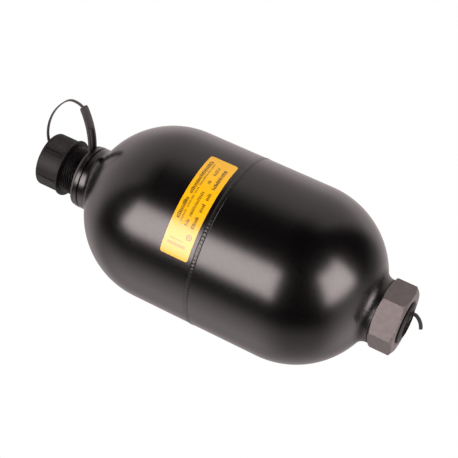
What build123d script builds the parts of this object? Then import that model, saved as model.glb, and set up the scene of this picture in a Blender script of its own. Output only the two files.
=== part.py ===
from build123d import *
import math
import os

# Bladder accumulator of about one and a half litres, lying along X: gas valve at -X, fluid port at +X.
# Millimetres. Origin on the axis at the middle of the clamp seat, +Z up, with the cap strap's loop above.
# Stations along the axis are worked out from the weld seam outwards.

os.makedirs("parts", exist_ok=True)

# ---- Driving dimensions --------------------------------------------------------------------------

# Steel shell: two deep-drawn halves with hemispherical ends, welded at the seam
shell_radius = 59.0
shell_wall = 6.0
gas_cylinder_length = 44.0
fluid_cylinder_length = 47.0

# Seam weld in a V groove
weld_root_land = 1.5
weld_root_width = 1.6
weld_cap_width = 3.2
weld_crown = 0.25

# Gas neck of the shell
gas_neck_radius = 21.8
gas_neck_blend = 6.0
gas_neck_land = 3.0

# Threaded gas boss welded into the gas neck
boss_spigot_radius = 15.0
boss_spigot_inset = 0.7
boss_relief_radius = 20.9
boss_relief_width = 0.9
boss_collar_radius = 21.8
boss_collar_width = 3.4
boss_thread_radius = 16.5
boss_thread_length = 19.8
boss_thread_chamfer = 1.0
boss_undercut_radius = 15.6
boss_undercut_width = 1.8

# Bladder and its stem
bladder_slack = 3.0
bladder_wall = 2.5
bladder_to_poppet = 4.2
stem_radius = 8.0
stem_flange_radius = 12.0
stem_flange_width = 3.0
stem_bore_radius = 3.0
stem_end_stand = 2.0
washer_radius = 13.0
washer_thickness = 1.0
lock_nut_flats = 24.0
lock_nut_thickness = 5.0

# Gas valve screwed into the stem
valve_radius = 4.5
valve_length = 14.0
valve_flange_radius = 6.4
valve_flange_thickness = 0.8
valve_gasket_thickness = 0.5
valve_mouth_radius = 2.6
valve_mouth_depth = 5.0
valve_seat_thickness = 2.0
valve_lip_thickness = 0.8
valve_lip_radius = 1.3
valve_chamber_radius = 3.2
valve_pin_radius = 0.8
valve_pin_recess = 0.3
valve_disc_radius = 2.4
valve_disc_thickness = 1.0
valve_spring_wire = 0.4
valve_spring_radius = 1.9
valve_spring_turns = 4

# Screwed protective cap
cap_radius = 18.5
cap_length = 18.3
cap_end_thickness = 2.5
cap_edge_radius = 1.6
cap_flange_radius = 19.8
cap_flange_thickness = 1.7
cap_to_collar = 13.9
cap_panels = 2
cap_panel_angle = 55.0
cap_panel_direction = -49.5
grip_pitch = 4.0
grip_groove_width = 0.7
grip_length = 14.4
panel_line_width = 0.8
panel_line_depth = 0.6
panel_line_gap = 6.5
cap_button_radius = 3.0
cap_button_head_radius = 4.6
cap_button_head_thickness = 1.3

# Moulded strap that ties the cap to the neck
strap_angle = 20.8
strap_thickness = 1.6
strap_foot_width = 8.4
strap_shoulder_width = 6.9
strap_tail_width = 2.0
strap_tail_thickness = 0.9
strap_channel_width = 3.2
strap_channel_depth = 0.5
strap_pin_stand = 0.5
strap_pin_share = 0.55
strap_root_share = 0.96
neck_ring_radius = 21.4
neck_ring_thickness = 1.4
eye_radius = 6.2
strap_pin_radius = 0.8
strap_bow = 3.7
strap_bow_height = 36.0
strap_lean = 11.2
strap_shoulder_height = 49.8
strap_shoulder_radius = 1.6
strap_top_lean = 18.1
strap_top_height = 50.9
strap_crown_radius = 9.0
strap_crown_turn = 43.0
strap_reach = 4.4
strap_side_height = 21.0

# Fluid neck of the shell
fluid_neck_radius = 21.5
fluid_neck_blend = 6.9
fluid_neck_land = 0.5

# Hexagon fluid port body
hex_flats = 41.0
hex_length = 16.7
hex_corner_angle = 42.64
hex_chamfer_outer = 1.9
hex_chamfer_inner = 1.7
hex_face_inset = 0.15
spigot_radius = 14.85
spigot_length = 23.0
port_bore_radius = 12.06
port_thread_depth = 16.0
port_mouth_radius = 15.3
relief_bore_radius = 11.0
web_depth = 8.9
web_thickness = 4.0
flow_hole_radius = 2.2
flow_hole_circle = 7.6
flow_holes = 6
chamber_radius = 10.0
seat_radius = 12.0
seat_depth = 2.0
seal_groove_radius = 13.1
seal_groove_width = 2.9
seal_groove_inset = 0.6

# Poppet valve that closes the port when the bladder reaches it
poppet_stroke = 4.5
poppet_head_radius = 12.4
poppet_back_radius = 9.3
poppet_rim_width = 0.8
poppet_dome_height = 2.0
poppet_stem_radius = 3.0
bush_radius = 4.6
stop_nut_flats = 9.0
stop_nut_thickness = 3.0
poppet_thread_end = 1.2
poppet_spring_wire = 1.2
poppet_spring_radius = 6.0
poppet_spring_turns = 4

# Push-in transport plug
plug_flange_radius = 13.9
plug_flange_thickness = 0.9
plug_flange_stand = 0.9
plug_rim_radius = 9.5
plug_rim_height = 1.1
plug_bore = 9.2
plug_depth = 12.0
plug_floor = 1.5
tail_width = 4.0
tail_thickness = 1.8
tail_angle = 50.0
tail_offset = 5.3
tail_foot_height = 4.6
tail_root_reach = 1.65
tail_root_height = 5.1
tail_crest_reach = 4.85
tail_crest_height = 7.6
tail_bend_reach = 8.25
tail_bend_height = 5.5
tail_tip_reach = 11.0
tail_tip_height = 0.9

# Adhesive label
label_width = 19.4
label_to_seam = 4.2
label_start_angle = -55.0
label_sweep = 70.5
label_thickness = 0.15
label_corner = 1.8

# Fits
running_fit = 0.05
thread_fit = 0.05
face_gap = 0.05
slide_fit = 0.1
loose_fit = 0.2
strap_ring_play = 0.5
ring_section = 1.5
ring_fit = 0.03
edge_break = 0.5

# ---- Worked-out stations -------------------------------------------------------------------------

clamp_seat_length = fluid_cylinder_length - weld_cap_width / 2
seam_x = -weld_cap_width / 2 - clamp_seat_length / 2
gas_dome_x = seam_x - gas_cylinder_length
fluid_dome_x = seam_x + fluid_cylinder_length
bore_radius = shell_radius - shell_wall


def blend_run(neck_radius, blend_radius):
    """Axial distance from a dome's centre to the centre of the blend between dome and neck."""
    return math.sqrt((shell_radius + blend_radius) ** 2 - (neck_radius + blend_radius) ** 2)


def inner_run(radius):
    """Axial distance from a dome's centre to the inner wall at the given radius."""
    return math.sqrt(bore_radius**2 - radius**2)


def half_outline(dome_x, way, neck_radius, blend_radius, neck_end_x, neck_bore):
    """Half-section of one shell half, from seam to neck; way is -1 at the gas end, 1 at the fluid end."""
    blend_x = dome_x + way * blend_run(neck_radius, blend_radius)
    share = shell_radius / (shell_radius + blend_radius)
    dome_end = (dome_x + (blend_x - dome_x) * share, (neck_radius + blend_radius) * share)
    dome_angle = math.degrees(math.atan2(dome_end[1], abs(dome_end[0] - dome_x)))
    middle = math.radians((90 + dome_angle) / 2)
    dome_middle = (dome_x + way * shell_radius * math.cos(middle), shell_radius * math.sin(middle))
    blend_angle = math.radians((90 + dome_angle) / 2)
    blend_middle = (
        blend_x - way * blend_radius * math.cos(blend_angle),
        neck_radius + blend_radius - blend_radius * math.sin(blend_angle),
    )
    inner_end = (dome_x + way * inner_run(neck_bore), neck_bore)
    inner_angle = math.radians((90 + math.degrees(math.asin(neck_bore / bore_radius))) / 2)
    inner_middle = (dome_x + way * bore_radius * math.cos(inner_angle), bore_radius * math.sin(inner_angle))
    root = (seam_x, bore_radius + weld_root_land)
    root_edge = (seam_x + way * weld_root_width / 2, bore_radius + weld_root_land)
    cap_edge = (seam_x + way * weld_cap_width / 2, shell_radius)
    Polyline((seam_x, bore_radius), root, root_edge, cap_edge, (dome_x, shell_radius))
    ThreePointArc((dome_x, shell_radius), dome_middle, dome_end)
    ThreePointArc(dome_end, blend_middle, (blend_x, neck_radius))
    Polyline((blend_x, neck_radius), (neck_end_x, neck_radius), (neck_end_x, neck_bore), inner_end)
    ThreePointArc(inner_end, inner_middle, (dome_x, bore_radius))
    Line((dome_x, bore_radius), (seam_x, bore_radius))


def rims(part, radius):
    """Circular edges of a part at one radius."""
    circles = part.edges().filter_by(GeomType.CIRCLE)
    return circles.filter_by(lambda edge: abs(edge.radius - radius) < face_gap)


def hex_radius(flats):
    """Corner radius of a hexagon from its width across flats."""
    return flats / math.sqrt(3)


# Gas end
gas_neck_end_x = gas_dome_x - blend_run(gas_neck_radius, gas_neck_blend) - gas_neck_land
gas_neck_bore = boss_spigot_radius + thread_fit
collar_x = gas_neck_end_x - boss_relief_width
collar_face_x = collar_x - boss_collar_width
boss_end_x = collar_face_x - boss_thread_length
boss_inner_x = gas_dome_x - inner_run(boss_spigot_radius) - boss_spigot_inset
stem_seat_x = boss_inner_x
stem_inner_x = stem_seat_x + stem_flange_width
bladder_radius = bore_radius - bladder_slack
washer_end_x = boss_end_x - washer_thickness
lock_nut_end_x = washer_end_x - lock_nut_thickness
stem_end_x = lock_nut_end_x - stem_end_stand
valve_flange_x = stem_end_x - valve_gasket_thickness
valve_end_x = valve_flange_x - valve_flange_thickness
valve_seat_x = valve_end_x + valve_mouth_depth
valve_chamber_x = valve_seat_x + valve_seat_thickness
valve_inner_x = stem_end_x + valve_length
valve_lip_x = valve_inner_x - valve_lip_thickness
cap_mouth_x = collar_face_x - cap_to_collar
cap_end_x = cap_mouth_x - cap_length
cap_bore = boss_thread_radius + running_fit

# Fluid end
fluid_neck_end_x = fluid_dome_x + blend_run(fluid_neck_radius, fluid_neck_blend) + fluid_neck_land
fluid_neck_bore = spigot_radius + thread_fit
port_face_x = fluid_neck_end_x + hex_length
port_bottom_x = port_face_x - port_thread_depth
web_x = port_bottom_x - web_depth
web_inner_x = web_x - web_thickness
spigot_end_x = fluid_neck_end_x - spigot_length
seat_x = spigot_end_x + seat_depth

# Poppet: face_gap stays between the cones when it is shut; at rest it stands off by the stroke
shut_sum = spigot_end_x + seat_radius - face_gap * math.sqrt(2)
head_back_x = shut_sum - poppet_back_radius - poppet_stroke
head_rim_x = shut_sum - poppet_head_radius - poppet_stroke
head_front_x = head_rim_x - poppet_rim_width
poppet_tip_x = head_front_x - poppet_dome_height
stop_x = web_x + face_gap
poppet_end_x = stop_x + stop_nut_thickness + poppet_thread_end

# ---- Shell ---------------------------------------------------------------------------------------

with BuildPart() as gas_side_shell:
    with BuildSketch(Plane.XY):
        with BuildLine():
            half_outline(gas_dome_x, -1, gas_neck_radius, gas_neck_blend, gas_neck_end_x, gas_neck_bore)
        make_face()
    revolve(axis=Axis.X)
gas_side_shell.part.label = "gas_side_shell"

with BuildPart() as fluid_side_shell:
    with BuildSketch(Plane.XY):
        with BuildLine():
            half_outline(
                fluid_dome_x, 1, fluid_neck_radius, fluid_neck_blend, fluid_neck_end_x, fluid_neck_bore
            )
        make_face()
    revolve(axis=Axis.X)
fluid_side_shell.part.label = "fluid_side_shell"

with BuildPart() as weld_bead:
    with BuildSketch(Plane.XY):
        with BuildLine():
            left = (seam_x - weld_cap_width / 2, shell_radius)
            right = (seam_x + weld_cap_width / 2, shell_radius)
            root_left = (seam_x - weld_root_width / 2, bore_radius + weld_root_land)
            root_right = (seam_x + weld_root_width / 2, bore_radius + weld_root_land)
            ThreePointArc(left, (seam_x, shell_radius + weld_crown), right)
            Polyline(right, root_right, root_left, left)
        make_face()
    revolve(axis=Axis.X)
weld_bead.part.label = "weld_bead"

# ---- Gas boss ------------------------------------------------------------------------------------

with BuildPart() as gas_neck_boss:
    with BuildSketch(Plane.XY):
        with BuildLine():
            undercut_x = collar_face_x - boss_undercut_width
            slope_x = undercut_x - (boss_thread_radius - boss_undercut_radius)
            Polyline(
                (boss_inner_x, stem_radius + thread_fit),
                (boss_inner_x, boss_spigot_radius),
                (gas_neck_end_x, boss_spigot_radius),
                (gas_neck_end_x, boss_relief_radius),
                (collar_x, boss_relief_radius),
                (collar_x, boss_collar_radius),
                (collar_face_x, boss_collar_radius),
                (collar_face_x, boss_undercut_radius),
                (undercut_x, boss_undercut_radius),
                (slope_x, boss_thread_radius),
                (boss_end_x + boss_thread_chamfer, boss_thread_radius),
                (boss_end_x, boss_thread_radius - boss_thread_chamfer),
                (boss_end_x, stem_radius + thread_fit),
                close=True,
            )
        make_face()
        stem_ring_radius = (stem_radius + stem_flange_radius) / 2 + thread_fit
        with Locations((boss_inner_x, stem_ring_radius)):
            Rectangle(2 * ring_section + 2 * ring_fit, ring_section + 2 * ring_fit, mode=Mode.SUBTRACT)
    revolve(axis=Axis.X)
    chamfer(rims(gas_neck_boss, boss_collar_radius), length=edge_break)
gas_neck_boss.part.label = "gas_neck_boss"

# ---- Bladder and stem ----------------------------------------------------------------------------

with BuildPart() as bladder_stem:
    with BuildSketch(Plane.XY):
        with BuildLine():
            Polyline(
                (stem_inner_x, stem_bore_radius),
                (stem_inner_x, stem_flange_radius),
                (stem_seat_x, stem_flange_radius),
                (stem_seat_x, stem_radius),
                (stem_end_x, stem_radius),
                (stem_end_x, valve_radius + thread_fit),
                (valve_inner_x + face_gap, valve_radius + thread_fit),
                (valve_inner_x + face_gap, stem_bore_radius),
                close=True,
            )
        make_face()
    revolve(axis=Axis.X)
bladder_stem.part.label = "bladder_stem"

with BuildPart() as bladder:
    with BuildSketch(Plane.XY):
        with BuildLine():
            inner_bladder = bladder_radius - bladder_wall
            tip_x = poppet_tip_x - bladder_to_poppet - bladder_radius
            mouth_x = gas_dome_x - math.sqrt(bladder_radius**2 - stem_flange_radius**2)
            pad_x = stem_inner_x + bladder_wall
            pad_radius = math.sqrt(inner_bladder**2 - (gas_dome_x - pad_x) ** 2)
            mouth_angle = math.asin(stem_flange_radius / bladder_radius)
            outer_middle = (math.pi / 2 + mouth_angle) / 2
            pad_angle = math.asin(pad_radius / inner_bladder)
            inner_middle = (math.pi / 2 + pad_angle) / 2
            Polyline(
                (stem_inner_x, stem_bore_radius),
                (stem_inner_x, stem_flange_radius),
                (mouth_x, stem_flange_radius),
            )
            ThreePointArc(
                (mouth_x, stem_flange_radius),
                (
                    gas_dome_x - bladder_radius * math.cos(outer_middle),
                    bladder_radius * math.sin(outer_middle),
                ),
                (gas_dome_x, bladder_radius),
            )
            Line((gas_dome_x, bladder_radius), (tip_x, bladder_radius))
            ThreePointArc(
                (tip_x, bladder_radius),
                (tip_x + bladder_radius * math.sqrt(0.5), bladder_radius * math.sqrt(0.5)),
                (tip_x + bladder_radius, 0),
            )
            Line((tip_x + bladder_radius, 0), (tip_x + inner_bladder, 0))
            ThreePointArc(
                (tip_x + inner_bladder, 0),
                (tip_x + inner_bladder * math.sqrt(0.5), inner_bladder * math.sqrt(0.5)),
                (tip_x, inner_bladder),
            )
            Line((tip_x, inner_bladder), (gas_dome_x, inner_bladder))
            ThreePointArc(
                (gas_dome_x, inner_bladder),
                (gas_dome_x - inner_bladder * math.cos(inner_middle), inner_bladder * math.sin(inner_middle)),
                (pad_x, pad_radius),
            )
            Polyline((pad_x, pad_radius), (pad_x, stem_bore_radius), (stem_inner_x, stem_bore_radius))
        make_face()
    revolve(axis=Axis.X)
bladder.part.label = "bladder"

with BuildPart() as stem_o_ring:
    with BuildSketch(Plane.XY):
        with Locations((boss_inner_x - ring_section / 2 - ring_fit, stem_ring_radius)):
            Circle(ring_section / 2)
    revolve(axis=Axis.X)
stem_o_ring.part.label = "stem_o_ring"

with BuildPart() as stem_washer:
    with BuildSketch(Plane.YZ.offset(washer_end_x)):
        Circle(washer_radius)
        Circle(stem_radius + loose_fit, mode=Mode.SUBTRACT)
    extrude(amount=washer_thickness)
stem_washer.part.label = "stem_washer"

with BuildPart() as stem_lock_nut:
    with BuildSketch(Plane.YZ.offset(lock_nut_end_x)):
        RegularPolygon(hex_radius(lock_nut_flats), 6)
        Circle(stem_radius + thread_fit, mode=Mode.SUBTRACT)
    extrude(amount=lock_nut_thickness)
    with BuildSketch(Plane.XY):
        with BuildLine():
            corner = hex_radius(lock_nut_flats)
            Polyline(
                (lock_nut_end_x, 0),
                (lock_nut_end_x, lock_nut_flats / 2),
                (lock_nut_end_x + (corner - lock_nut_flats / 2) * math.tan(math.radians(30)), corner),
                (washer_end_x, corner),
                (washer_end_x, 0),
                close=True,
            )
        make_face()
    revolve(axis=Axis.X, mode=Mode.INTERSECT)
stem_lock_nut.part.label = "stem_lock_nut"

# ---- Gas valve -----------------------------------------------------------------------------------

with BuildPart() as gas_valve_body:
    with BuildSketch(Plane.XY):
        with BuildLine():
            pin_bore = valve_pin_radius + running_fit
            Polyline(
                (valve_end_x, valve_mouth_radius),
                (valve_end_x, valve_flange_radius),
                (valve_flange_x, valve_flange_radius),
                (valve_flange_x, valve_radius),
                (valve_inner_x, valve_radius),
                (valve_inner_x, valve_lip_radius),
                (valve_lip_x, valve_lip_radius),
                (valve_lip_x, valve_chamber_radius),
                (valve_chamber_x, valve_chamber_radius),
                (valve_chamber_x, pin_bore),
                (valve_seat_x, pin_bore),
                (valve_seat_x, valve_mouth_radius),
                close=True,
            )
        make_face()
    revolve(axis=Axis.X)
gas_valve_body.part.label = "gas_valve_body"

with BuildPart() as gas_valve_gasket:
    with BuildSketch(Plane.YZ.offset(valve_flange_x)):
        Circle(valve_flange_radius)
        Circle(valve_radius + slide_fit, mode=Mode.SUBTRACT)
    extrude(amount=valve_gasket_thickness)
gas_valve_gasket.part.label = "gas_valve_gasket"

valve_disc_x = valve_chamber_x + face_gap
valve_spring_x = valve_disc_x + valve_disc_thickness

with BuildPart() as gas_valve_pin:
    with BuildSketch(Plane.XY):
        with BuildLine():
            Polyline(
                (valve_end_x + valve_pin_recess, 0),
                (valve_end_x + valve_pin_recess, valve_pin_radius),
                (valve_disc_x, valve_pin_radius),
                (valve_disc_x, valve_disc_radius),
                (valve_spring_x, valve_disc_radius),
                (valve_spring_x, 0),
                close=True,
            )
        make_face()
    revolve(axis=Axis.X)
gas_valve_pin.part.label = "gas_valve_pin"


def coil_spring(start_x, end_x, mean_radius, wire, turns):
    """Path of a coil spring of square wire between two flat seats."""
    length = end_x - start_x - wire - 2 * face_gap
    helix = Helix(
        pitch=length / turns,
        height=length,
        radius=mean_radius,
        center=(start_x + wire / 2 + face_gap, 0, 0),
        direction=(1, 0, 0),
    )
    return helix


def wire_plane(path):
    """Plane across a spring's wire at its start, its first direction pointing away from the axis."""
    start = path @ 0
    return Plane(origin=start, x_dir=(0, start.Y, start.Z), z_dir=path % 0)


with BuildPart() as gas_valve_spring:
    with BuildLine() as valve_coil:
        coil_spring(valve_spring_x, valve_lip_x, valve_spring_radius, valve_spring_wire, valve_spring_turns)
    with BuildSketch(wire_plane(valve_coil.line)):
        Rectangle(valve_spring_wire, valve_spring_wire)
    sweep(path=valve_coil.line, is_frenet=True)
gas_valve_spring.part.label = "gas_valve_spring"

# ---- Protective cap ------------------------------------------------------------------------------

with BuildPart() as protective_cap:
    with BuildSketch(Plane.XY):
        with BuildLine():
            button_head_x = cap_end_x - strap_thickness - 2 * loose_fit
            button_end_x = button_head_x - cap_button_head_thickness
            Polyline(
                (button_end_x, 0),
                (button_end_x, cap_button_head_radius),
                (button_head_x, cap_button_head_radius),
                (button_head_x, cap_button_radius),
                (cap_end_x, cap_button_radius),
                (cap_end_x, cap_radius),
                (cap_mouth_x - cap_flange_thickness, cap_radius),
                (cap_mouth_x - cap_flange_thickness, cap_flange_radius),
                (cap_mouth_x, cap_flange_radius),
                (cap_mouth_x, cap_bore),
                (cap_end_x + cap_end_thickness, cap_bore),
                (cap_end_x + cap_end_thickness, 0),
                close=True,
            )
        make_face()
    revolve(axis=Axis.X)
    fillet(rims(protective_cap, cap_radius).sort_by(Axis.X)[0], radius=cap_edge_radius)
    fillet(rims(protective_cap, cap_flange_radius), radius=edge_break)
    grip_arc = 360 / cap_panels - cap_panel_angle - panel_line_gap
    grooves = int(grip_arc / grip_pitch)
    groove_side = grip_groove_width / math.sqrt(2)
    with BuildSketch(Plane.YZ.offset(cap_mouth_x - cap_flange_thickness)):
        for panel in range(cap_panels):
            panel_edge = 90 - cap_panel_direction - cap_panel_angle / 2 - panel * 360 / cap_panels
            for line in (panel_edge, panel_edge - panel_line_gap, panel_edge + cap_panel_angle):
                with PolarLocations(cap_radius, 1, start_angle=line):
                    Rectangle(2 * panel_line_depth, panel_line_width)
            for groove in range(1, grooves):
                groove_angle = panel_edge - panel_line_gap - groove * grip_pitch
                with PolarLocations(cap_radius, 1, start_angle=groove_angle):
                    Rectangle(groove_side, groove_side, rotation=45)
    extrude(amount=-grip_length, mode=Mode.SUBTRACT)
protective_cap.part.label = "protective_cap"

# ---- Strap ---------------------------------------------------------------------------------------

# The strap's flat side view lies in a plane through the axis, turned by strap_angle from Z towards Y.
strap_up = Vector(0, math.sin(math.radians(strap_angle)), math.cos(math.radians(strap_angle)))
strap_plane = Plane(origin=(0, 0, 0), x_dir=(1, 0, 0), z_dir=Vector(1, 0, 0).cross(strap_up))

ring_face_x = collar_face_x - slide_fit
ring_x = ring_face_x - neck_ring_thickness / 2
eye_x = (cap_end_x + button_head_x) / 2
ring_bore = boss_thread_radius + strap_ring_play
ring_middle = (ring_bore + neck_ring_radius) / 2
eye_bore = cap_button_radius + slide_fit
shoulder = (ring_x - strap_lean, strap_shoulder_height)
band_height = strap_shoulder_height + strap_thickness
band_x = shoulder[0] - strap_thickness
band_plane = Plane(origin=(band_x, 0, 0), x_dir=strap_up.cross(Vector(1, 0, 0)), z_dir=(1, 0, 0))

with BuildPart() as cap_strap:
    with BuildSketch(strap_plane):
        with BuildLine():
            band_line = ThreePointArc((ring_x, ring_middle), (ring_x - strap_bow, strap_bow_height), shoulder)
        trace(line_width=strap_thickness)
    extrude(amount=strap_foot_width / 2, both=True)
    with BuildSketch(band_plane):
        Polygon(
            (-strap_foot_width / 2, ring_bore),
            (strap_foot_width / 2, ring_bore),
            (strap_shoulder_width / 2, band_height),
            (-strap_shoulder_width / 2, band_height),
            align=None,
        )
    extrude(amount=strap_lean + 2 * strap_thickness, mode=Mode.INTERSECT)
    shoulder_point = strap_plane.from_local_coords(Vector(shoulder))
    shoulder_edges = cap_strap.edges().sort_by(lambda edge: (edge.center() - shoulder_point).length)
    shoulder_corners = shoulder_edges.filter_by(lambda edge: abs(edge.length - strap_thickness) < edge_break)
    fillet(shoulder_corners[:2], radius=strap_shoulder_radius)
    with BuildSketch(Plane.YZ.offset(ring_face_x - neck_ring_thickness)):
        Circle(neck_ring_radius)
        Circle(ring_bore, mode=Mode.SUBTRACT)
    extrude(amount=neck_ring_thickness)
    with BuildSketch(Plane.YZ.offset(eye_x - strap_thickness / 2)):
        Circle(eye_radius)
        Circle(eye_bore, mode=Mode.SUBTRACT)
    extrude(amount=strap_thickness)
    with BuildSketch(strap_plane):
        with Locations((ring_x, ring_middle)):
            Rectangle(neck_ring_thickness, neck_ring_radius - ring_bore)
    extrude(amount=strap_foot_width / 2, both=True)
    with BuildSketch(strap_plane):
        with BuildLine():
            top_point = (ring_x - strap_top_lean, strap_top_height)
            side_point = (cap_end_x - strap_reach, strap_side_height)
            eye_point = (eye_x, (eye_bore + eye_radius) / 2)
            turn_point = ((side_point[0] + eye_point[0]) / 2, (side_point[1] + eye_point[1]) / 2)
            TangentArc(top_point, band_line @ strap_root_share, tangent=(1, 0))
            crown = JernArc(top_point, (-1, 0), radius=strap_crown_radius, arc_size=strap_crown_turn)
            side = TangentArc(crown @ 1, side_point, tangent=crown % 1)
            inward = TangentArc(side_point, turn_point, tangent=side % 1)
            TangentArc(turn_point, eye_point, tangent=inward % 1)
        trace(line_width=strap_tail_thickness)
    extrude(amount=strap_tail_width / 2, both=True)
    face_shift = Vector(strap_thickness / 2, 0)
    channel_points = [(band_line @ share) + face_shift for share in (0, strap_pin_share / 2, strap_pin_share)]
    with BuildSketch(strap_plane):
        with BuildLine():
            ThreePointArc(*channel_points)
        trace(line_width=2 * strap_channel_depth)
    extrude(amount=strap_channel_width / 2, both=True, mode=Mode.SUBTRACT)
    pin_point = strap_plane.from_local_coords(Vector(band_line @ strap_pin_share))
    with BuildSketch(Plane(origin=pin_point, z_dir=(1, 0, 0))):
        Circle(strap_pin_radius)
    extrude(amount=strap_thickness / 2 + strap_pin_stand)
cap_strap.part.label = "cap_strap"

# ---- Fluid port ----------------------------------------------------------------------------------

with BuildPart() as fluid_port_body:
    with BuildSketch(Plane.YZ.offset(fluid_neck_end_x)):
        RegularPolygon(hex_radius(hex_flats), 6, rotation=hex_corner_angle)
    extrude(amount=hex_length)
    with BuildSketch(Plane.XY):
        with BuildLine():
            corner = hex_radius(hex_flats)
            flat = hex_flats / 2 - hex_face_inset
            Polyline(
                (fluid_neck_end_x, 0),
                (fluid_neck_end_x, flat),
                (fluid_neck_end_x + hex_chamfer_inner, corner),
                (port_face_x - hex_chamfer_outer, corner),
                (port_face_x, flat),
                (port_face_x, 0),
                close=True,
            )
        make_face()
    revolve(axis=Axis.X, mode=Mode.INTERSECT)
    with BuildSketch(Plane.XY):
        with BuildLine():
            groove_x = fluid_neck_end_x - seal_groove_inset
            Polyline(
                (fluid_neck_end_x, 0),
                (fluid_neck_end_x, spigot_radius),
                (groove_x, spigot_radius),
                (groove_x, seal_groove_radius),
                (groove_x - seal_groove_width, seal_groove_radius),
                (groove_x - seal_groove_width, spigot_radius),
                (spigot_end_x, spigot_radius),
                (spigot_end_x, 0),
                close=True,
            )
        make_face()
    revolve(axis=Axis.X)
    with BuildSketch(Plane.XY):
        with BuildLine():
            mouth_run = port_mouth_radius - port_bore_radius
            Polyline(
                (port_face_x, 0),
                (port_face_x, port_mouth_radius),
                (port_face_x - mouth_run, port_bore_radius),
                (port_bottom_x, port_bore_radius),
                (port_bottom_x, relief_bore_radius),
                (web_x, relief_bore_radius),
                (web_x, 0),
                close=True,
            )
        make_face()
        with BuildLine():
            Polyline(
                (web_inner_x, 0),
                (web_inner_x, chamber_radius),
                (seat_x, chamber_radius),
                (spigot_end_x, seat_radius),
                (spigot_end_x, 0),
                close=True,
            )
        make_face()
    revolve(axis=Axis.X, mode=Mode.SUBTRACT)
    with BuildSketch(Plane.YZ.offset(web_inner_x)):
        Circle(bush_radius)
        with PolarLocations(flow_hole_circle, flow_holes):
            Circle(flow_hole_radius)
    extrude(amount=web_thickness, mode=Mode.SUBTRACT)
fluid_port_body.part.label = "fluid_port_body"

with BuildPart() as port_o_ring:
    with BuildSketch(Plane.XY):
        ring_centre = spigot_radius + thread_fit - ring_section / 2 - ring_fit
        with Locations((groove_x - ring_section / 2 - ring_fit, ring_centre)):
            Circle(ring_section / 2)
    revolve(axis=Axis.X)
port_o_ring.part.label = "port_o_ring"

with BuildPart() as port_backup_ring:
    with BuildSketch(Plane.XY):
        backup_x = groove_x - ring_section - 3 * ring_fit
        backup_end_x = groove_x - seal_groove_width + ring_fit
        with Locations(((backup_x + backup_end_x) / 2, (seal_groove_radius + spigot_radius) / 2)):
            Rectangle(backup_x - backup_end_x, spigot_radius - seal_groove_radius - 2 * ring_fit)
    revolve(axis=Axis.X)
port_backup_ring.part.label = "port_backup_ring"

# ---- Poppet --------------------------------------------------------------------------------------

with BuildPart() as poppet_guide_bush:
    with BuildSketch(Plane.YZ.offset(web_inner_x)):
        Circle(bush_radius)
        Circle(poppet_stem_radius + running_fit, mode=Mode.SUBTRACT)
    extrude(amount=web_thickness)
poppet_guide_bush.part.label = "poppet_guide_bush"

with BuildPart() as poppet:
    with BuildSketch(Plane.XY):
        with BuildLine():
            dome_radius = (poppet_head_radius**2 + poppet_dome_height**2) / (2 * poppet_dome_height)
            dome_fall = dome_radius - math.sqrt(dome_radius**2 - poppet_head_radius**2 / 4)
            Polyline(
                (poppet_tip_x, 0),
                (poppet_end_x, 0),
                (poppet_end_x, poppet_stem_radius),
                (head_back_x, poppet_stem_radius),
                (head_back_x, poppet_back_radius),
                (head_rim_x, poppet_head_radius),
                (head_front_x, poppet_head_radius),
            )
            ThreePointArc(
                (head_front_x, poppet_head_radius),
                (poppet_tip_x + dome_fall, poppet_head_radius / 2),
                (poppet_tip_x, 0),
            )
        make_face()
    revolve(axis=Axis.X)
poppet.part.label = "poppet"

with BuildPart() as poppet_stop_nut:
    with BuildSketch(Plane.YZ.offset(stop_x)):
        RegularPolygon(hex_radius(stop_nut_flats), 6)
        Circle(poppet_stem_radius + thread_fit, mode=Mode.SUBTRACT)
    extrude(amount=stop_nut_thickness)
poppet_stop_nut.part.label = "poppet_stop_nut"

with BuildPart() as poppet_spring:
    with BuildLine() as poppet_coil:
        coil_spring(head_back_x, web_inner_x, poppet_spring_radius, poppet_spring_wire, poppet_spring_turns)
    with BuildSketch(wire_plane(poppet_coil.line)):
        Rectangle(poppet_spring_wire, poppet_spring_wire)
    sweep(path=poppet_coil.line, is_frenet=True)
poppet_spring.part.label = "poppet_spring"

# ---- Transport plug ------------------------------------------------------------------------------

plug_body_radius = port_bore_radius - slide_fit
plug_face_x = port_face_x + plug_flange_stand
plug_rim_x = plug_face_x + plug_rim_height
plug_bottom_x = plug_face_x - plug_depth
tail_up = Vector(0, math.sin(math.radians(tail_angle)), math.cos(math.radians(tail_angle)))
tail_side_way = Vector(1, 0, 0).cross(tail_up)
tail_plane = Plane(origin=tail_side_way * tail_offset, x_dir=(1, 0, 0), z_dir=tail_side_way)

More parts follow.
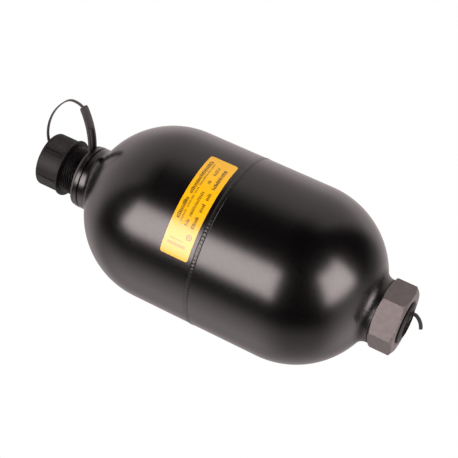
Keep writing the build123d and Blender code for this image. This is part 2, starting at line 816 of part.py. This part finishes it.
with BuildPart() as port_plug:
    with BuildSketch(Plane.XY):
        with BuildLine():
            Polyline(
                (plug_bottom_x, 0),
                (plug_bottom_x, plug_body_radius),
                (plug_face_x - plug_flange_thickness, plug_body_radius),
                (plug_face_x - plug_flange_thickness, plug_flange_radius),
                (plug_face_x, plug_flange_radius),
                (plug_rim_x, plug_rim_radius),
                (plug_rim_x, plug_bore),
                (plug_bottom_x + plug_floor, plug_bore),
                (plug_bottom_x + plug_floor, 0),
                close=True,
            )
        make_face()
    revolve(axis=Axis.X)
    with BuildSketch(tail_plane):
        with BuildLine():
            tail_foot = (plug_bottom_x + plug_floor - tail_thickness / 4, tail_foot_height)
            tail_root = (port_face_x + tail_root_reach, tail_root_height)
            tail_crest = (port_face_x + tail_crest_reach, tail_crest_height)
            tail_bend = (port_face_x + tail_bend_reach, tail_bend_height)
            tail_tip = (port_face_x + tail_tip_reach, tail_tip_height)
            droop = ThreePointArc(tail_crest, tail_bend, tail_tip)
            climb = TangentArc(tail_crest, tail_root, tangent=-(droop % 0))
            TangentArc(tail_root, tail_foot, tangent=climb % 1)
        trace(line_width=tail_thickness)
    extrude(amount=tail_width / 2, both=True)
port_plug.part.label = "port_plug"

# ---- Label ---------------------------------------------------------------------------------------

label_inner = shell_radius
label_end_x = seam_x - label_to_seam
label_up = Vector(
    0, math.sin(math.radians(label_start_angle)), math.cos(math.radians(label_start_angle))
)

with BuildPart() as label:
    with BuildSketch(Plane(origin=(0, 0, 0), x_dir=(1, 0, 0), z_dir=Vector(1, 0, 0).cross(label_up))):
        with Locations((label_end_x - label_width / 2, label_inner + label_thickness / 2)):
            Rectangle(label_width, label_thickness)
    revolve(axis=Axis.X, revolution_arc=-label_sweep)
    corners = label.edges().filter_by(GeomType.LINE).filter_by(lambda edge: edge.length < 2 * label_thickness)
    fillet(corners, radius=label_corner)
label.part.label = "label"

# ---- Export --------------------------------------------------------------------------------------

pieces = [
    gas_side_shell,
    fluid_side_shell,
    weld_bead,
    gas_neck_boss,
    bladder_stem,
    bladder,
    stem_o_ring,
    stem_washer,
    stem_lock_nut,
    gas_valve_body,
    gas_valve_gasket,
    gas_valve_pin,
    gas_valve_spring,
    protective_cap,
    cap_strap,
    fluid_port_body,
    port_o_ring,
    port_backup_ring,
    poppet_guide_bush,
    poppet,
    poppet_stop_nut,
    poppet_spring,
    port_plug,
    label,
]
for piece in pieces:
    export_step(piece.part, f"parts/{piece.part.label}.step")
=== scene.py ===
import math
import random

import bpy
from mathutils import Matrix, Vector


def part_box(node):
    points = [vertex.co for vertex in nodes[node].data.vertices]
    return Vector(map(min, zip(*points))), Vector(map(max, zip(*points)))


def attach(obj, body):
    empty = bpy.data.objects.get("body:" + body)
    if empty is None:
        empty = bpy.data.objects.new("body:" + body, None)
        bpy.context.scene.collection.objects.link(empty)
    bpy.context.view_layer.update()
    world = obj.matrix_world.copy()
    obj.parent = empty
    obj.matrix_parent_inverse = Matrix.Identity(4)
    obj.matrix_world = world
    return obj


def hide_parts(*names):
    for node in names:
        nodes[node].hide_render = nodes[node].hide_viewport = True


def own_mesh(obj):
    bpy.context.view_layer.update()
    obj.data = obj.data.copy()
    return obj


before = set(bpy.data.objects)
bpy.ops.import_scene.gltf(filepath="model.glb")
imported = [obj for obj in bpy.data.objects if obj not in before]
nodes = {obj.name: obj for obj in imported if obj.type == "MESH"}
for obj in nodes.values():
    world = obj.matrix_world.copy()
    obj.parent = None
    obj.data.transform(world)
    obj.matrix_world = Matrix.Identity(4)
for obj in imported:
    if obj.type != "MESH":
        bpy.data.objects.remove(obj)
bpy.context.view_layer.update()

MM = 0.001
TAU = 2 * math.pi

SHELL_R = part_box("gas_side_shell")[1][2]
BEAD_LOW, BEAD_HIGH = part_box("weld_bead")
SEAM = (BEAD_LOW[0] + BEAD_HIGH[0]) / 2


# ---------------------------------------------------------------- materials

def new_material(name):
    mat = bpy.data.materials.new(name)
    mat.use_nodes = True
    return mat, mat.node_tree, mat.node_tree.nodes["Principled BSDF"]


def add(tree, kind, **values):
    """A node of the kind, with its own settings."""
    node = tree.nodes.new(kind)
    for key, value in values.items():
        setattr(node, key, value)
    return node


def put(node, **values):
    """Sets the node's inputs, whose names are given with _ for each space."""
    for key, value in values.items():
        node.inputs[key.replace("_", " ")].default_value = value


def noise(tree, coord, scale, detail=4.0, rough=0.55, stretch=(1, 1, 1)):
    mapping = add(tree, "ShaderNodeMapping")
    put(mapping, Scale=stretch)
    tree.links.new(coord, mapping.inputs["Vector"])
    tex = add(tree, "ShaderNodeTexNoise")
    put(tex, Scale=scale, Detail=detail, Roughness=rough)
    tree.links.new(mapping.outputs["Vector"], tex.inputs["Vector"])
    return tex.outputs["Fac"]


# A noise's values lie mostly between these two
NOISE_LOW = 0.3
NOISE_HIGH = 0.7


def two_tone(tree, fac, dark, light):
    node = add(tree, "ShaderNodeValToRGB")
    for element, place, colour in zip(node.color_ramp.elements, (NOISE_LOW, NOISE_HIGH), (dark, light)):
        element.position = place
        element.color = (*colour, 1.0)
    tree.links.new(fac, node.inputs["Fac"])
    return node.outputs["Color"]


def surface(name, dark, light, rough, metallic=0.0, grain=900.0, cloud=60.0, bump=0.02, bump_dist=0.0001,
            specular=0.5, stretch=(1, 1, 1)):
    """A finish with colour and roughness that vary, fine grain in its bump, and larger clouds in its tone."""
    mat, tree, shader = new_material(name)
    coord = add(tree, "ShaderNodeTexCoord").outputs["Object"]
    clouds = noise(tree, coord, cloud, 3.0)
    grains = noise(tree, coord, grain, 5.0, 0.6, stretch)
    tree.links.new(two_tone(tree, clouds, dark, light), shader.inputs["Base Color"])
    ease = add(tree, "ShaderNodeMapRange")
    put(ease, From_Min=NOISE_LOW, From_Max=NOISE_HIGH, To_Min=rough[0], To_Max=rough[1])
    tree.links.new(grains, ease.inputs["Value"])
    tree.links.new(ease.outputs["Result"], shader.inputs["Roughness"])
    put(shader, Metallic=metallic, Specular_IOR_Level=specular)
    relief = add(tree, "ShaderNodeBump")
    put(relief, Strength=bump, Distance=bump_dist)
    tree.links.new(grains, relief.inputs["Height"])
    tree.links.new(relief.outputs["Normal"], shader.inputs["Normal"])
    return mat


PAINT = surface(
    "satin_black_paint", (0.0003, 0.0002, 0.0002), (0.0007, 0.0005, 0.0005), (0.22, 0.27),
    grain=500.0, cloud=35.0, bump=0.05, bump_dist=0.00003)
WELD_PAINT = surface(
    "painted_weld", (0.0008, 0.0007, 0.0007), (0.0018, 0.0015, 0.0015), (0.24, 0.36),
    grain=900.0, cloud=120.0, bump=0.35, bump_dist=0.00008)
NECK_PAINT = surface(
    "painted_neck", (0.0005, 0.0004, 0.0004), (0.0012, 0.0010, 0.0010), (0.24, 0.30),
    grain=1200.0, cloud=80.0, bump=0.15, bump_dist=0.00003)
THREAD_BLACK = surface(
    "blackened_thread", (0.0010, 0.0009, 0.0009), (0.0022, 0.0020, 0.0020), (0.42, 0.52),
    grain=1500.0, cloud=200.0, bump=0.2, bump_dist=0.00003, specular=0.3)
PHOSPHATE = surface(
    "phosphated_steel", (0.088, 0.077, 0.076), (0.112, 0.099, 0.097), (0.44, 0.54), metallic=0.45,
    grain=2200.0, cloud=260.0, bump=0.25, bump_dist=0.00003)
PLASTIC = surface(
    "moulded_black_plastic", (0.0050, 0.0044, 0.0044), (0.0078, 0.0068, 0.0068), (0.50, 0.60),
    grain=1800.0, cloud=150.0, bump=0.2, bump_dist=0.00003, specular=0.28)
# The strap's black plastic, toned several times lighter than the cap's: painted light standing in for the
# light that falls on the strap
STRAP_PLASTIC_PAINTED_LIGHT = surface(
    "strap_plastic_painted_light", (0.030, 0.026, 0.026), (0.040, 0.0345, 0.0345), (0.40, 0.50),
    grain=1400.0, cloud=150.0, bump=0.2, bump_dist=0.00003)
ZINC = surface(
    "zinc_plated_steel", (0.52, 0.52, 0.54), (0.62, 0.62, 0.64), (0.25, 0.38), metallic=1.0)
VALVE_STEEL = surface(
    "turned_steel", (0.42, 0.42, 0.43), (0.52, 0.52, 0.53), (0.22, 0.34), metallic=1.0, stretch=(6, 1, 1))
SPRING = surface(
    "spring_wire", (0.34, 0.34, 0.35), (0.44, 0.44, 0.46), (0.28, 0.4), metallic=1.0, grain=1500.0)
BRASS = surface(
    "turned_brass", (0.62, 0.44, 0.16), (0.74, 0.54, 0.22), (0.22, 0.34), metallic=1.0, stretch=(6, 1, 1))
RUBBER = surface(
    "bladder_rubber", (0.012, 0.012, 0.012), (0.022, 0.021, 0.021), (0.55, 0.7), grain=1200.0, bump=0.3)
WHITE = surface(
    "backup_ring_plastic", (0.68, 0.67, 0.64), (0.78, 0.77, 0.74), (0.35, 0.5))
LABEL = surface(
    "label_film", (0.71, 0.395, 0.003), (0.76, 0.425, 0.004), (0.22, 0.28),
    grain=600.0, cloud=25.0, bump=0.04, bump_dist=0.00002)
PALE_INK = surface(
    "label_pale_ink", (0.16, 0.095, 0.008), (0.20, 0.12, 0.010), (0.24, 0.32), cloud=500.0)
INK = surface(
    "label_ink", (0.020, 0.012, 0.005), (0.035, 0.020, 0.006), (0.24, 0.32), cloud=500.0)

for film in (LABEL, INK, PALE_INK):
    put(film.node_tree.nodes["Principled BSDF"], Coat_Weight=0.25, Coat_Roughness=0.2)

# The as-welded fluid neck: how far it reaches back from its end, and over what length its finish sets in
ROUGH_NECK = 8.0 * MM
ROUGH_NECK_FADE = 2.0 * MM
LUMPS_PER_METRE = 420.0
LUMP_HEIGHT = 0.4 * MM


def roughen_neck(mat, start, end, rough):
    """Past the start along X the paint turns rough and wavy, as it does over an as-welded neck."""
    tree = mat.node_tree
    shader = tree.nodes["Principled BSDF"]
    coord = add(tree, "ShaderNodeTexCoord").outputs["Object"]
    split_x = add(tree, "ShaderNodeSeparateXYZ")
    tree.links.new(coord, split_x.inputs["Vector"])
    ease = add(tree, "ShaderNodeMapRange", interpolation_type="SMOOTHSTEP")
    put(ease, From_Min=start, From_Max=end)
    tree.links.new(split_x.outputs["X"], ease.inputs["Value"])
    mask = ease.outputs["Result"]
    mix = add(tree, "ShaderNodeMix", data_type="FLOAT")
    put(mix, B=rough)
    tree.links.new(mask, mix.inputs["Factor"])
    tree.links.new(shader.inputs["Roughness"].links[0].from_socket, mix.inputs["A"])
    tree.links.new(mix.outputs["Result"], shader.inputs["Roughness"])
    height = add(tree, "ShaderNodeMath", operation="MULTIPLY")
    tree.links.new(noise(tree, coord, LUMPS_PER_METRE, 3.0), height.inputs[0])
    tree.links.new(mask, height.inputs[1])
    relief = add(tree, "ShaderNodeBump")
    put(relief, Strength=0.6, Distance=LUMP_HEIGHT)
    tree.links.new(height.outputs["Value"], relief.inputs["Height"])
    tree.links.new(shader.inputs["Normal"].links[0].from_socket, relief.inputs["Normal"])
    tree.links.new(relief.outputs["Normal"], shader.inputs["Normal"])
    return mat


NECK_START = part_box("fluid_side_shell")[1][0] - ROUGH_NECK
FLUID_PAINT = roughen_neck(PAINT.copy(), NECK_START, NECK_START + ROUGH_NECK_FADE, 0.36)
FLUID_PAINT.name = "satin_black_paint_fluid_end"

BY_NODE = {
    "gas_side_shell": PAINT, "gas_neck_boss": PAINT, "fluid_side_shell": FLUID_PAINT, "weld_bead": WELD_PAINT,
    "fluid_port_body": PHOSPHATE, "protective_cap": PLASTIC, "port_plug": PLASTIC, "cap_strap": STRAP_PLASTIC_PAINTED_LIGHT,
    "bladder": RUBBER, "stem_o_ring": RUBBER, "port_o_ring": RUBBER, "gas_valve_gasket": RUBBER,
    "bladder_stem": ZINC, "stem_washer": ZINC, "stem_lock_nut": ZINC, "gas_valve_pin": ZINC,
    "poppet_stop_nut": ZINC, "gas_valve_body": BRASS, "poppet_guide_bush": BRASS, "poppet": VALVE_STEEL,
    "gas_valve_spring": SPRING, "poppet_spring": SPRING, "port_backup_ring": WHITE, "label": LABEL,
}
for name, node in nodes.items():
    finish = BY_NODE[name]
    if node.material_slots:
        for slot in node.material_slots:
            slot.material = finish
    else:
        node.data.materials.append(finish)


# ---------------------------------------------------------------- mesh helpers

def make(name, verts, faces, material, smooth=True):
    mesh = bpy.data.meshes.new(name)
    mesh.from_pydata([tuple(v) for v in verts], [], faces)
    mesh.update()
    obj = bpy.data.objects.new(name, mesh)
    bpy.context.collection.objects.link(obj)
    obj.data.materials.append(material)
    for poly in mesh.polygons:
        poly.use_smooth = smooth
    return obj


def around(x, r, angle):
    """A point at radius r and angle from +Z towards +Y."""
    return Vector((x, r * math.sin(angle), r * math.cos(angle)))


def lathe(name, profile, material, segments, radial):
    """A turned piece from a closed list of (x, r), whose radius at each angle radial(x, r, angle) gives."""
    verts, faces = [], []
    count = len(profile)
    for i in range(segments):
        angle = TAU * i / segments
        for x, r in profile:
            verts.append(around(x, radial(x, r, angle), angle))
    for i in range(segments):
        here, there = i * count, (i + 1) % segments * count
        for j in range(count):
            k = (j + 1) % count
            faces.append((here + j, here + k, there + k, there + j))
    return make(name, verts, faces, material)


# ---------------------------------------------------------------- shell seam

BEAD_HALF = (BEAD_HIGH[0] - BEAD_LOW[0]) / 2
CROWN = BEAD_HIGH[2] - SHELL_R
BEAD_ROOT_R = SHELL_R - 4.4 * MM
BEAD_ROOT_HALF = BEAD_HALF * 0.3
BEAD_STEPS = 12
RIPPLE_PITCH = 2.4 * MM
RIPPLE_DEPTH = 0.23 * MM
RIPPLE_BOW = 0.55


def bead_radius(x, r, angle):
    """Ripples of a machine weld: shallow overlapping scales."""
    if r < SHELL_R - 0.2 * MM:
        return r
    rise = max(0.0, 1 - abs(x - SEAM) / (BEAD_HALF * 0.98))
    scale = (angle * SHELL_R / RIPPLE_PITCH + RIPPLE_BOW * ((x - SEAM) / BEAD_HALF) ** 2) % 1.0
    return r - RIPPLE_DEPTH * rise * (1 - scale) ** 2 * (0.8 + 0.2 * math.sin(7 * angle))


bead = [(SEAM - BEAD_ROOT_HALF, BEAD_ROOT_R)]
for k in range(BEAD_STEPS + 1):
    t = -1 + 2 * k / BEAD_STEPS
    toe = 0.02 * MM if abs(t) == 1 else 0.0
    bead.append((SEAM + BEAD_HALF * t, SHELL_R + CROWN * (1 - t * t) - toe))
bead.append((SEAM + BEAD_ROOT_HALF, BEAD_ROOT_R))
weld = lathe("seam_weld", bead, WELD_PAINT, 800, bead_radius)
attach(weld, "shell")
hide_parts("weld_bead")


# ---------------------------------------------------------------- gas neck

# The neck's sizes and stations, as the solid has them
CREST_R = 16.5 * MM
ROOT_R = 15.6 * MM
BORE_R = 8.05 * MM
SPIGOT_R = 15.0 * MM
RELIEF_R = 20.9 * MM
RELIEF_WIDTH = 0.9 * MM
COLLAR_WIDTH = 3.4 * MM
UNDERCUT_WIDTH = 1.8 * MM
RUNOUT = 0.9 * MM
CHAMFER = 1.0 * MM
EDGE = 0.5 * MM
PITCH = 1.5 * MM
GROOVE_MID = 10.05 * MM
GROOVE_HALF = 0.78 * MM
GROOVE_DEPTH = 1.53 * MM
NECK_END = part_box("gas_side_shell")[0][0]
BOSS_LOW, BOSS_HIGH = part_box("gas_neck_boss")
BOSS_OUTER, BOSS_INNER, COLLAR_R = BOSS_LOW[0], BOSS_HIGH[0], BOSS_HIGH[2]
COLLAR = NECK_END - RELIEF_WIDTH
COLLAR_FACE = COLLAR - COLLAR_WIDTH
THREAD_LOW = BOSS_OUTER + CHAMFER
THREAD_HIGH = COLLAR_FACE - UNDERCUT_WIDTH - RUNOUT
THREAD_ROWS = 120


def thread_radius(x, r, angle):
    """Cuts a right-hand thread of 60 degrees into the neck between its two ends."""
    if not THREAD_LOW - PITCH < x < THREAD_HIGH + PITCH / 2 or r < ROOT_R - EDGE:
        return r
    turn = ((x - THREAD_LOW) / PITCH + angle / TAU) % 1.0
    flank = min(1.0, max(0.0, 1.25 * abs(2 * turn - 1) - 0.125))
    return min(r, ROOT_R + (CREST_R - ROOT_R) * flank)


neck = [(BOSS_OUTER, BORE_R), (BOSS_OUTER, CREST_R - CHAMFER)]
for k in range(THREAD_ROWS + 1):
    neck.append((THREAD_LOW + (THREAD_HIGH - THREAD_LOW) * k / THREAD_ROWS, CREST_R))
neck += [
    (COLLAR_FACE - UNDERCUT_WIDTH, ROOT_R), (COLLAR_FACE, ROOT_R), (COLLAR_FACE, COLLAR_R - EDGE),
    (COLLAR_FACE + EDGE, COLLAR_R), (COLLAR - EDGE, COLLAR_R), (COLLAR, COLLAR_R - EDGE),
    (COLLAR, RELIEF_R), (NECK_END, RELIEF_R), (NECK_END, SPIGOT_R), (BOSS_INNER, SPIGOT_R),
    (BOSS_INNER, GROOVE_MID + GROOVE_HALF), (BOSS_INNER - GROOVE_DEPTH, GROOVE_MID + GROOVE_HALF),
    (BOSS_INNER - GROOVE_DEPTH, GROOVE_MID - GROOVE_HALF), (BOSS_INNER, GROOVE_MID - GROOVE_HALF),
    (BOSS_INNER, BORE_R)]
threaded_neck = lathe("threaded_gas_neck", neck, NECK_PAINT, 256, thread_radius)
threaded_neck.data.set_sharp_from_angle(angle=math.radians(30.0))
threaded_neck.data.materials.append(THREAD_BLACK)
for polygon in threaded_neck.data.polygons:
    if polygon.center.x < COLLAR_FACE - EDGE:
        polygon.material_index = 1
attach(threaded_neck, "shell")
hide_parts("gas_neck_boss")


# ---------------------------------------------------------------- label print

# Places on the label are pairs: the share across it, and the share along it
LABEL_LOW, LABEL_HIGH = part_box("label")
LABEL_WIDTH = LABEL_HIGH[0] - LABEL_LOW[0]
LABEL_START = math.radians(-55.0)
LABEL_SWEEP = math.radians(70.5)
LABEL_POINTS = [nodes["label"].matrix_world @ vertex.co for vertex in nodes["label"].data.vertices]
LABEL_R = max(math.hypot(point.y, point.z) for point in LABEL_POINTS)
PRINT_LIFT = 0.02 * MM


def print_piece(name, shapes, material):
    """Flat shapes printed on the label, as one thin piece."""
    verts, faces = [], []
    for corners in shapes:
        faces.append(tuple(range(len(verts), len(verts) + len(corners))))
        for u, v in corners:
            verts.append(around(LABEL_LOW[0] + u * LABEL_WIDTH, LABEL_R + PRINT_LIFT,
                                LABEL_START + v * LABEL_SWEEP))
    piece = make(name, verts, faces, material)
    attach(piece, "shell")


def block(u_low, u_high, v_low, v_high):
    return [(u_low, v_low), (u_high, v_low), (u_high, v_high), (u_low, v_high)]


def ticks(u, height, start, end, pitch, fill, seed):
    """A word-like run of upright bars along the label, of mixed lengths."""
    chance = random.Random(seed)
    count = max(1, round((end - start) / pitch))
    step = (end - start) / count
    out = []
    for k in range(count):
        v = start + k * step
        tall = height * chance.choice((0.72, 0.86, 1.0))
        wide = step * fill * chance.uniform(0.75, 1.1)
        top = u + height / 2
        out.append(block(top - tall, top, v, v + wide))
    return out


# Lines of plain bars: place across, height, bar pitch, fill, and the runs along the label
LINES = (
    (0.165, 0.135, 0.0150, 0.62, ((0.325, 0.520), (0.560, 0.940))),
    (0.305, 0.075, 0.0120, 0.45, ((0.310, 0.420), (0.440, 0.560), (0.575, 0.640), (0.655, 0.920))),
    (0.520, 0.115, 0.0150, 0.50, ((0.290, 0.350), (0.375, 0.620), (0.700, 0.740), (0.800, 0.900))),
    (0.760, 0.125, 0.0150, 0.60, ((0.285, 0.400), (0.440, 0.520), (0.555, 0.625), (0.665, 0.900))),
)
bars = []
for row, (place, height, pitch, fill, runs) in enumerate(LINES):
    for number, (start, end) in enumerate(runs):
        bars += ticks(place, height, start, end, pitch, fill, 10 * row + number)
print_piece("label_text_bars", bars, INK)

# A plain ring round three dots: its middle, its radii across the label, and the dots' pitch and half size
MARK_U, MARK_V = 0.79, 0.205
MARK_INNER, MARK_OUTER = 0.075, 0.095
MARK_SIDES = 32
DOT_PITCH = 0.03
DOT_HALF = 0.009
ASPECT = LABEL_WIDTH / (LABEL_SWEEP * LABEL_R)
mark = []
for k in range(MARK_SIDES):
    a, b = TAU * k / MARK_SIDES, TAU * (k + 1) / MARK_SIDES
    corners = ((MARK_INNER, a), (MARK_OUTER, a), (MARK_OUTER, b), (MARK_INNER, b))
    mark.append([(MARK_U + r * math.cos(t), MARK_V + ASPECT * r * math.sin(t)) for r, t in corners])
for k in (-1, 0, 1):
    dot_u = MARK_U + DOT_PITCH * k
    mark.append(block(dot_u - DOT_HALF, dot_u + DOT_HALF, MARK_V - DOT_HALF, MARK_V + DOT_HALF))
print_piece("label_ring_mark", mark, INK)

# Rows of bars at the label's foot: place along it, height, first and last across it, and how many
FOOT_ROWS = ((0.150, 0.010, 0.16, 0.66, 22), (0.108, 0.024, 0.16, 0.80, 17))
FOOT_FILL = 0.55
foot_bars = []
for place, tall, first, last, count in FOOT_ROWS:
    step = (last - first) / count
    for k in range(count):
        u = first + k * step
        foot_bars.append(block(u, u + step * FOOT_FILL, place - tall / 2, place + tall / 2))
print_piece("label_foot_bars", foot_bars, PALE_INK)


# ---------------------------------------------------------------- broken edges

def break_edges(node, width):
    """Joins the node's facets and rounds its sharp edges a little, so that they catch the light."""
    join = node.modifiers.new("join", "WELD")
    join.merge_threshold = 0.001 * MM
    flats = node.modifiers.new("flats", "DECIMATE")
    flats.decimate_type = "DISSOLVE"
    flats.angle_limit = math.radians(0.5)
    bevel = node.modifiers.new("edges", "BEVEL")
    bevel.width = width
    bevel.segments = 2
    bevel.limit_method = "ANGLE"
    bevel.angle_limit = math.radians(28.0)
    bevel.harden_normals = True


break_edges(nodes["fluid_port_body"], 0.35 * MM)
break_edges(nodes["cap_strap"], 0.22 * MM)
break_edges(nodes["port_plug"], 0.15 * MM)


# ---------------------------------------------------------------- coil springs

SPRING_TURNS = 6
TURN_STEPS = 40
WIRE_SIDES = 12
CLOSED_PITCH = 1.02


def coil_spring(name, node, wire):
    """Round wire between closed end coils, in the node's box, that shortens towards its high end."""
    low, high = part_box(node)
    radius = high[2] - wire / 2
    start, end = low[0] + wire / 2, high[0] - wire / 2
    closed = wire * CLOSED_PITCH
    rings = SPRING_TURNS * TURN_STEPS
    verts, faces = [], []
    for k in range(rings + 1):
        turn = SPRING_TURNS * k / rings
        share = min(1.0, max(0.0, (turn - 1) / (SPRING_TURNS - 2)))
        end_coils = min(turn, 1.0) + max(0.0, turn - (SPRING_TURNS - 1))
        x = start + closed * end_coils + share * (end - start - 2 * closed)
        for j in range(WIRE_SIDES):
            a = TAU * j / WIRE_SIDES
            verts.append(around(x + wire / 2 * math.cos(a), radius + wire / 2 * math.sin(a), TAU * turn))
    for k in range(rings):
        near, far = k * WIRE_SIDES, (k + 1) * WIRE_SIDES
        for j in range(WIRE_SIDES):
            step = (j + 1) % WIRE_SIDES
            faces.append((near + j, near + step, far + step, far + j))
    faces.append(tuple(range(WIRE_SIDES - 1, -1, -1)))
    faces.append(tuple(rings * WIRE_SIDES + j for j in range(WIRE_SIDES)))
    spring = make(name, verts, faces, SPRING)
    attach(spring, "shell")
    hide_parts(node)
    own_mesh(spring)


coil_spring("poppet_coil_spring", "poppet_spring", 1.2 * MM)
coil_spring("gas_valve_coil_spring", "gas_valve_spring", 0.4 * MM)


# ---------------------------------------------------------------- camera

def aimed(target, distance, azimuth, elevation, roll):
    """The place of a camera that looks at the target from so far, turned about its view by the roll."""
    az, el, tilt = (math.radians(angle) for angle in (azimuth, elevation, roll))
    back = Vector((math.cos(el) * math.cos(az), math.cos(el) * math.sin(az), math.sin(el)))
    level = Vector((-math.sin(az), math.cos(az), 0))
    right = level * math.cos(tilt) + back.cross(level) * math.sin(tilt)
    turned = Matrix((right, back.cross(right), back)).transposed().to_4x4()
    return Matrix.Translation(target + back * distance) @ turned


scene = bpy.context.scene
camera_data = bpy.data.cameras.new("camera")
camera_data.lens = 97.5
camera_data.sensor_width = 36.0
camera_data.clip_end = 30.0
camera = bpy.data.objects.new("camera", camera_data)
scene.collection.objects.link(camera)
camera.matrix_world = aimed(
    Vector((SEAM - 6.841 * MM, 8.344 * MM, 0)), 811.417 * MM, azimuth=-60.555, elevation=53.647, roll=0.256)
scene.camera = camera

scene.view_settings.view_transform = "Standard"
scene.view_settings.look = "None"
scene.view_settings.exposure = 0.0


# ---------------------------------------------------------------- floor and backdrop

def stage_white(name, verts, faces):
    """A white surface that only the camera sees, so that the studio's own light reaches the object."""
    mat, _, shader = new_material(name)
    put(shader, Base_Color=(0, 0, 0, 1), Specular_IOR_Level=0.0, Emission_Color=(1, 1, 1, 1),
        Emission_Strength=1.0)
    obj = make(name, verts, faces, mat, smooth=False)
    for ray in ("diffuse", "glossy", "transmission", "volume_scatter", "shadow"):
        setattr(obj, "visible_" + ray, False)


FLOOR_Z = -SHELL_R - CROWN
ROOM = 12.0
SIDES = 48
floor = [(x, y, FLOOR_Z) for x, y in ((-ROOM, -ROOM), (ROOM, -ROOM), (ROOM, ROOM), (-ROOM, ROOM))]
stage_white("floor", floor, [(0, 1, 2, 3)])
ring = [(ROOM * math.cos(TAU * k / SIDES), ROOM * math.sin(TAU * k / SIDES)) for k in range(SIDES)]
wall = [(x, y, z) for z in (-ROOM, ROOM) for x, y in ring]
quads = [(k, (k + 1) % SIDES, SIDES + (k + 1) % SIDES, SIDES + k) for k in range(SIDES)]
stage_white("backdrop", wall, quads + [tuple(range(SIDES)), tuple(range(SIDES, 2 * SIDES))])


# ---------------------------------------------------------------- studio light

# The studio is the world: each light, wall or floor is a window in azimuth (from +X towards +Y) and
# elevation, in degrees, whose edges fade over its softness.
STUDIO = (
    # azimuth, half width, softness, lowest, highest, softness, radiance
    (-111.5, 19.0, 7.0, 14.0, 49.5, 9.0, 9.4),         # soft box over the gas end
    (-6.0, 21.0, 8.0, 8.0, 43.5, 12.0, 9.4),           # soft box over the fluid end
    (131.0, 65.0, 16.0, -20.0, 56.0, 28.0, 0.97),      # pale wall behind
    (170.0, 28.0, 40.0, -14.0, 26.0, 30.0, 0.35),      # brighter part of that wall
    (0.0, 400.0, 10.0, -400.0, -21.0, 28.0, 0.63),     # pale floor all round
    (76.0, 60.0, 20.0, -60.0, -3.0, 16.0, 0.26),       # floor behind the fluid end
    (-112.0, 26.0, 40.0, -64.0, -18.0, 34.0, 0.85),    # floor under the first soft box
    (-2.0, 20.0, 34.0, -58.0, 2.0, 34.0, 1.15),        # floor under the second soft box
    (-174.0, 16.0, 30.0, -60.0, -6.0, 34.0, 0.30),     # floor beyond the gas end
)
ZENITH = 0.01
TINT = (1.10, 0.965, 0.965)

world = bpy.data.worlds.new("studio")
scene.world = world
world.use_nodes = True
sky = world.node_tree
sky.nodes.clear()


def calc(operation, *values):
    """A math node of the world on sockets or numbers."""
    node = add(sky, "ShaderNodeMath", operation=operation)
    for socket, value in zip(node.inputs, values):
        if isinstance(value, (int, float)):
            socket.default_value = value
        else:
            sky.links.new(value, socket)
    return node.outputs[0]


def fade(value, start, end):
    """A smooth rise from 0 at the start to 1 at the end; a falling edge has its end below its start."""
    node = add(sky, "ShaderNodeMapRange", interpolation_type="SMOOTHSTEP")
    rising = end > start
    put(node, From_Min=min(start, end), From_Max=max(start, end),
        To_Min=0.0 if rising else 1.0, To_Max=1.0 if rising else 0.0)
    sky.links.new(value, node.inputs["Value"])
    return node.outputs["Result"]


def window(value, low, high, soft):
    rise = fade(value, low - soft / 2, low + soft / 2)
    fall = fade(value, high + soft / 2, high - soft / 2)
    return calc("MULTIPLY", rise, fall)


split = add(sky, "ShaderNodeSeparateXYZ")
sky.links.new(add(sky, "ShaderNodeTexCoord").outputs["Generated"], split.inputs["Vector"])
azimuth = calc("DEGREES", calc("ARCTAN2", split.outputs["Y"], split.outputs["X"]))
elevation = calc("DEGREES", calc("ARCSINE", split.outputs["Z"]))
radiance = ZENITH
for middle, half, side_soft, lowest, highest, end_soft, strength in STUDIO:
    turned = calc("WRAP", calc("SUBTRACT", azimuth, middle), 180.0, -180.0)
    sideways = window(turned, -half, half, side_soft)
    upwards = window(elevation, lowest, highest, end_soft)
    radiance = calc("MULTIPLY_ADD", calc("MULTIPLY", sideways, upwards), strength, radiance)
background = add(sky, "ShaderNodeBackground")
put(background, Color=(*TINT, 1))
sky.links.new(radiance, background.inputs["Strength"])
output = add(sky, "ShaderNodeOutputWorld")
sky.links.new(background.outputs["Background"], output.inputs["Surface"])
